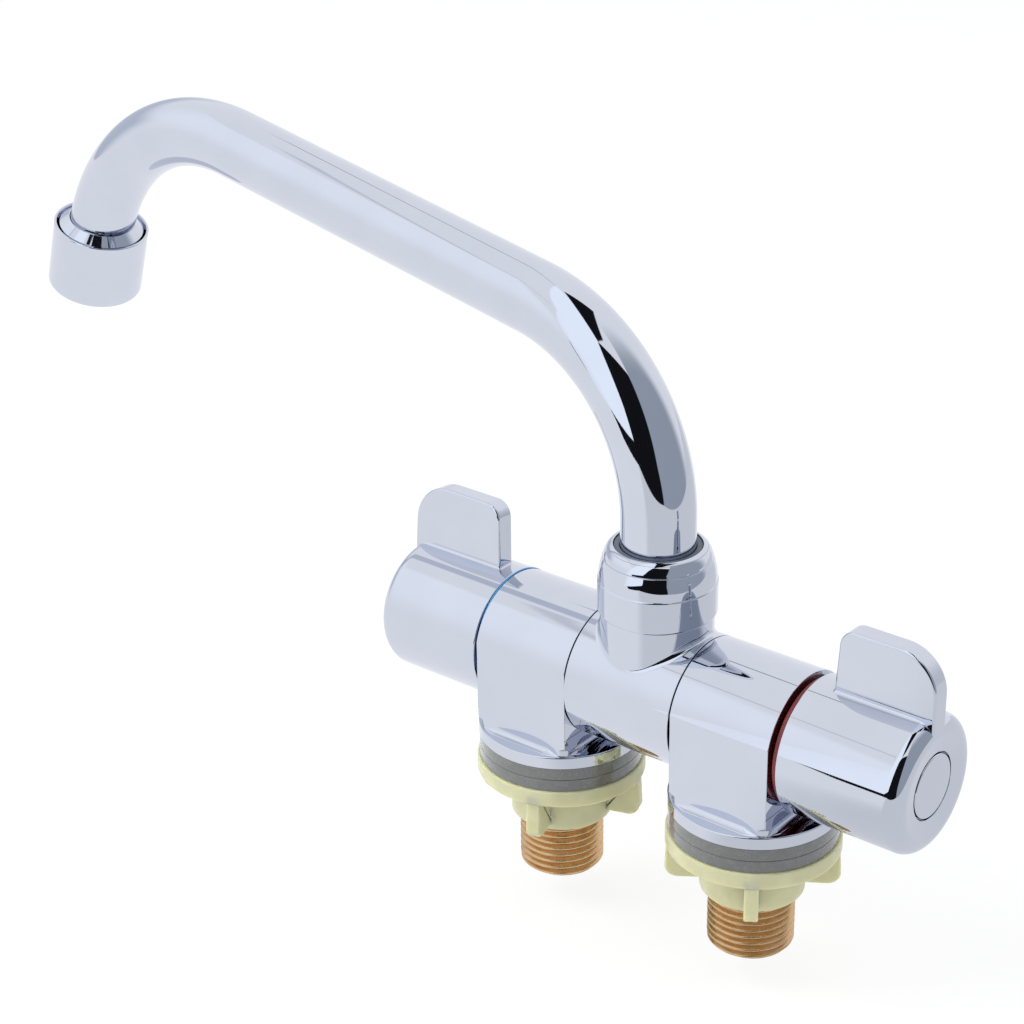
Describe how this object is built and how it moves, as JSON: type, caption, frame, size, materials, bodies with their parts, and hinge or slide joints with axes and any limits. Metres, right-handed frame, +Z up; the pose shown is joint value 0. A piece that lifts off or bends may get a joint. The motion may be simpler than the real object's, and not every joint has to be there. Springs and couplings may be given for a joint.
{
  "type": "swivel faucet",
  "caption": "Deck-mounted sink mixer tap with lever handles, a swivelling bent spout that also folds down, threaded inlet shanks and plastic backnuts.",
  "frame": {"origin": "midway between the two threaded shanks, in the plane of the chrome flanges' undersides", "axes": "+Z up out of the deck, +X along the barrel towards the hot side, +Y towards the user's side"},
  "size_m": [0.2944, 0.0499, 0.1733],
  "materials": {
    "chrome": "polished chrome plate over brass and zinc castings",
    "brass": "machined",
    "raw_brass": "machined thread, unplated",
    "steel": "stainless",
    "grey_rubber": "matte",
    "black_rubber": "matte",
    "cream_plastic": "slightly translucent moulding",
    "red_plastic": "moulded",
    "blue_plastic": "moulded",
    "dark_plastic": "moulded",
    "white_plastic": "moulded",
    "ceramic": "ground ceramic"
  },
  "bodies": {
    "body": {"cold_body": "chrome", "cold_cartridge_housing": "brass", "cold_deck_washer": "grey_rubber", "cold_fixed_disc": "ceramic", "cold_fold_washer": "white_plastic", "cold_index_ring": "blue_plastic", "cold_seat_seal": "black_rubber", "cold_shank": "raw_brass", "hot_body": "chrome", "hot_cartridge_housing": "brass", "hot_deck_washer": "grey_rubber", "hot_fixed_disc": "ceramic", "hot_fold_washer": "white_plastic", "hot_index_ring": "red_plastic", "hot_seat_seal": "black_rubber", "hot_shank": "raw_brass", "mixing_tube": "brass", "mixing_tube_seal_cold": "black_rubber", "mixing_tube_seal_hot": "black_rubber"},
    "hot_clamp": {"hot_clamp_washer": "grey_rubber"},
    "cold_clamp": {"cold_clamp_washer": "grey_rubber"},
    "hot_backnut": {"hot_backnut": "cream_plastic"},
    "cold_backnut": {"cold_backnut": "cream_plastic"},
    "hot_handle": {"hot_handle": "chrome", "hot_index_button": "chrome", "hot_handle_screw": "steel", "hot_spindle": "brass", "hot_moving_disc": "ceramic"},
    "cold_handle": {"cold_handle": "chrome", "cold_index_button": "chrome", "cold_handle_screw": "steel", "cold_spindle": "brass", "cold_moving_disc": "ceramic"},
    "centre": {"centre_barrel": "chrome", "swivel_nut": "chrome", "slide_washer": "white_plastic", "guide_ring": "dark_plastic"},
    "spout": {"spout_tube": "chrome", "spout_bush": "brass", "spout_seal_lower": "black_rubber", "spout_seal_upper": "black_rubber", "spout_end_fitting": "chrome", "aerator_housing": "chrome", "aerator_washer": "black_rubber", "aerator_insert": "white_plastic", "aerator_screen": "steel"}
  },
  "joints": [
    {"name": "spout_fold", "type": "hinge", "parent": "body", "child": "centre", "pos_m": [0, 0, 0.0219], "axis": [-1, 0, 0], "range_deg": [0, 90]},
    {"name": "spout_swivel", "type": "hinge", "parent": "centre", "child": "spout", "pos_m": [0, 0, 0.06], "axis": [0, 0, 1], "continuous": true},
    {"name": "hot_lever", "type": "hinge", "parent": "body", "child": "hot_handle", "pos_m": [0.055, 0, 0.0219], "axis": [-1, 0, 0], "range_deg": [0, 90]},
    {"name": "hot_clamp_slide", "type": "slide", "parent": "body", "child": "hot_clamp", "axis": [0, 0, -1], "range_m": [0, 0.025]},
    {"name": "hot_backnut_turn", "type": "hinge", "parent": "hot_clamp", "child": "hot_backnut", "pos_m": [0.02865, 0, -0.0145], "axis": [0, 0, -1], "range_deg": [0, 4966]},
    {"name": "cold_lever", "type": "hinge", "parent": "body", "child": "cold_handle", "pos_m": [-0.055, 0, 0.0219], "axis": [-1, 0, 0], "range_deg": [-5, 85]},
    {"name": "cold_clamp_slide", "type": "slide", "parent": "body", "child": "cold_clamp", "axis": [0, 0, -1], "range_m": [0, 0.025]},
    {"name": "cold_backnut_turn", "type": "hinge", "parent": "cold_clamp", "child": "cold_backnut", "pos_m": [-0.02865, 0, -0.0145], "axis": [0, 0, -1], "range_deg": [0, 4966]}
  ],
  "couplings": [
    {"joint": "hot_backnut_turn", "follows": "hot_clamp_slide", "rad_per_m": 3463.7},
    {"joint": "cold_backnut_turn", "follows": "cold_clamp_slide", "rad_per_m": 3463.7}
  ]
}
